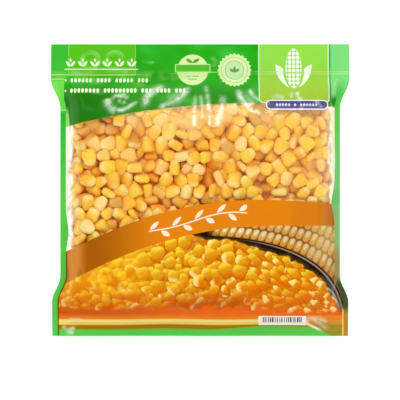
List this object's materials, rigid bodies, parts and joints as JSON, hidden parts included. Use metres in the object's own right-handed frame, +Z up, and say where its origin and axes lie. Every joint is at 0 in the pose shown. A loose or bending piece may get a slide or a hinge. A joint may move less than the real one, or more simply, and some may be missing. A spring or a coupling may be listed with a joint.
{
  "type": "frozen vegetable bag",
  "caption": "Flat heat-sealed film bag full of frozen sweetcorn kernels, shut, with a clear window across its printed front; lies on its back.",
  "frame": {"origin": "on the floor under the middle of the bag, as it lies on its back", "axes": "+X across the bag to the right of its front, +Y towards its header, +Z up out of the printed front"},
  "size_m": [0.2, 0.1956, 0.0295],
  "materials": {
    "printed_film": "thin printed film, glossy, in green and golden orange",
    "clear_film": "clear glossy film",
    "sweetcorn": "moist frozen kernels, satin, with a little frost"
  },
  "bodies": {
    "root": {"bag": "printed_film"}
  },
  "joints": []
}
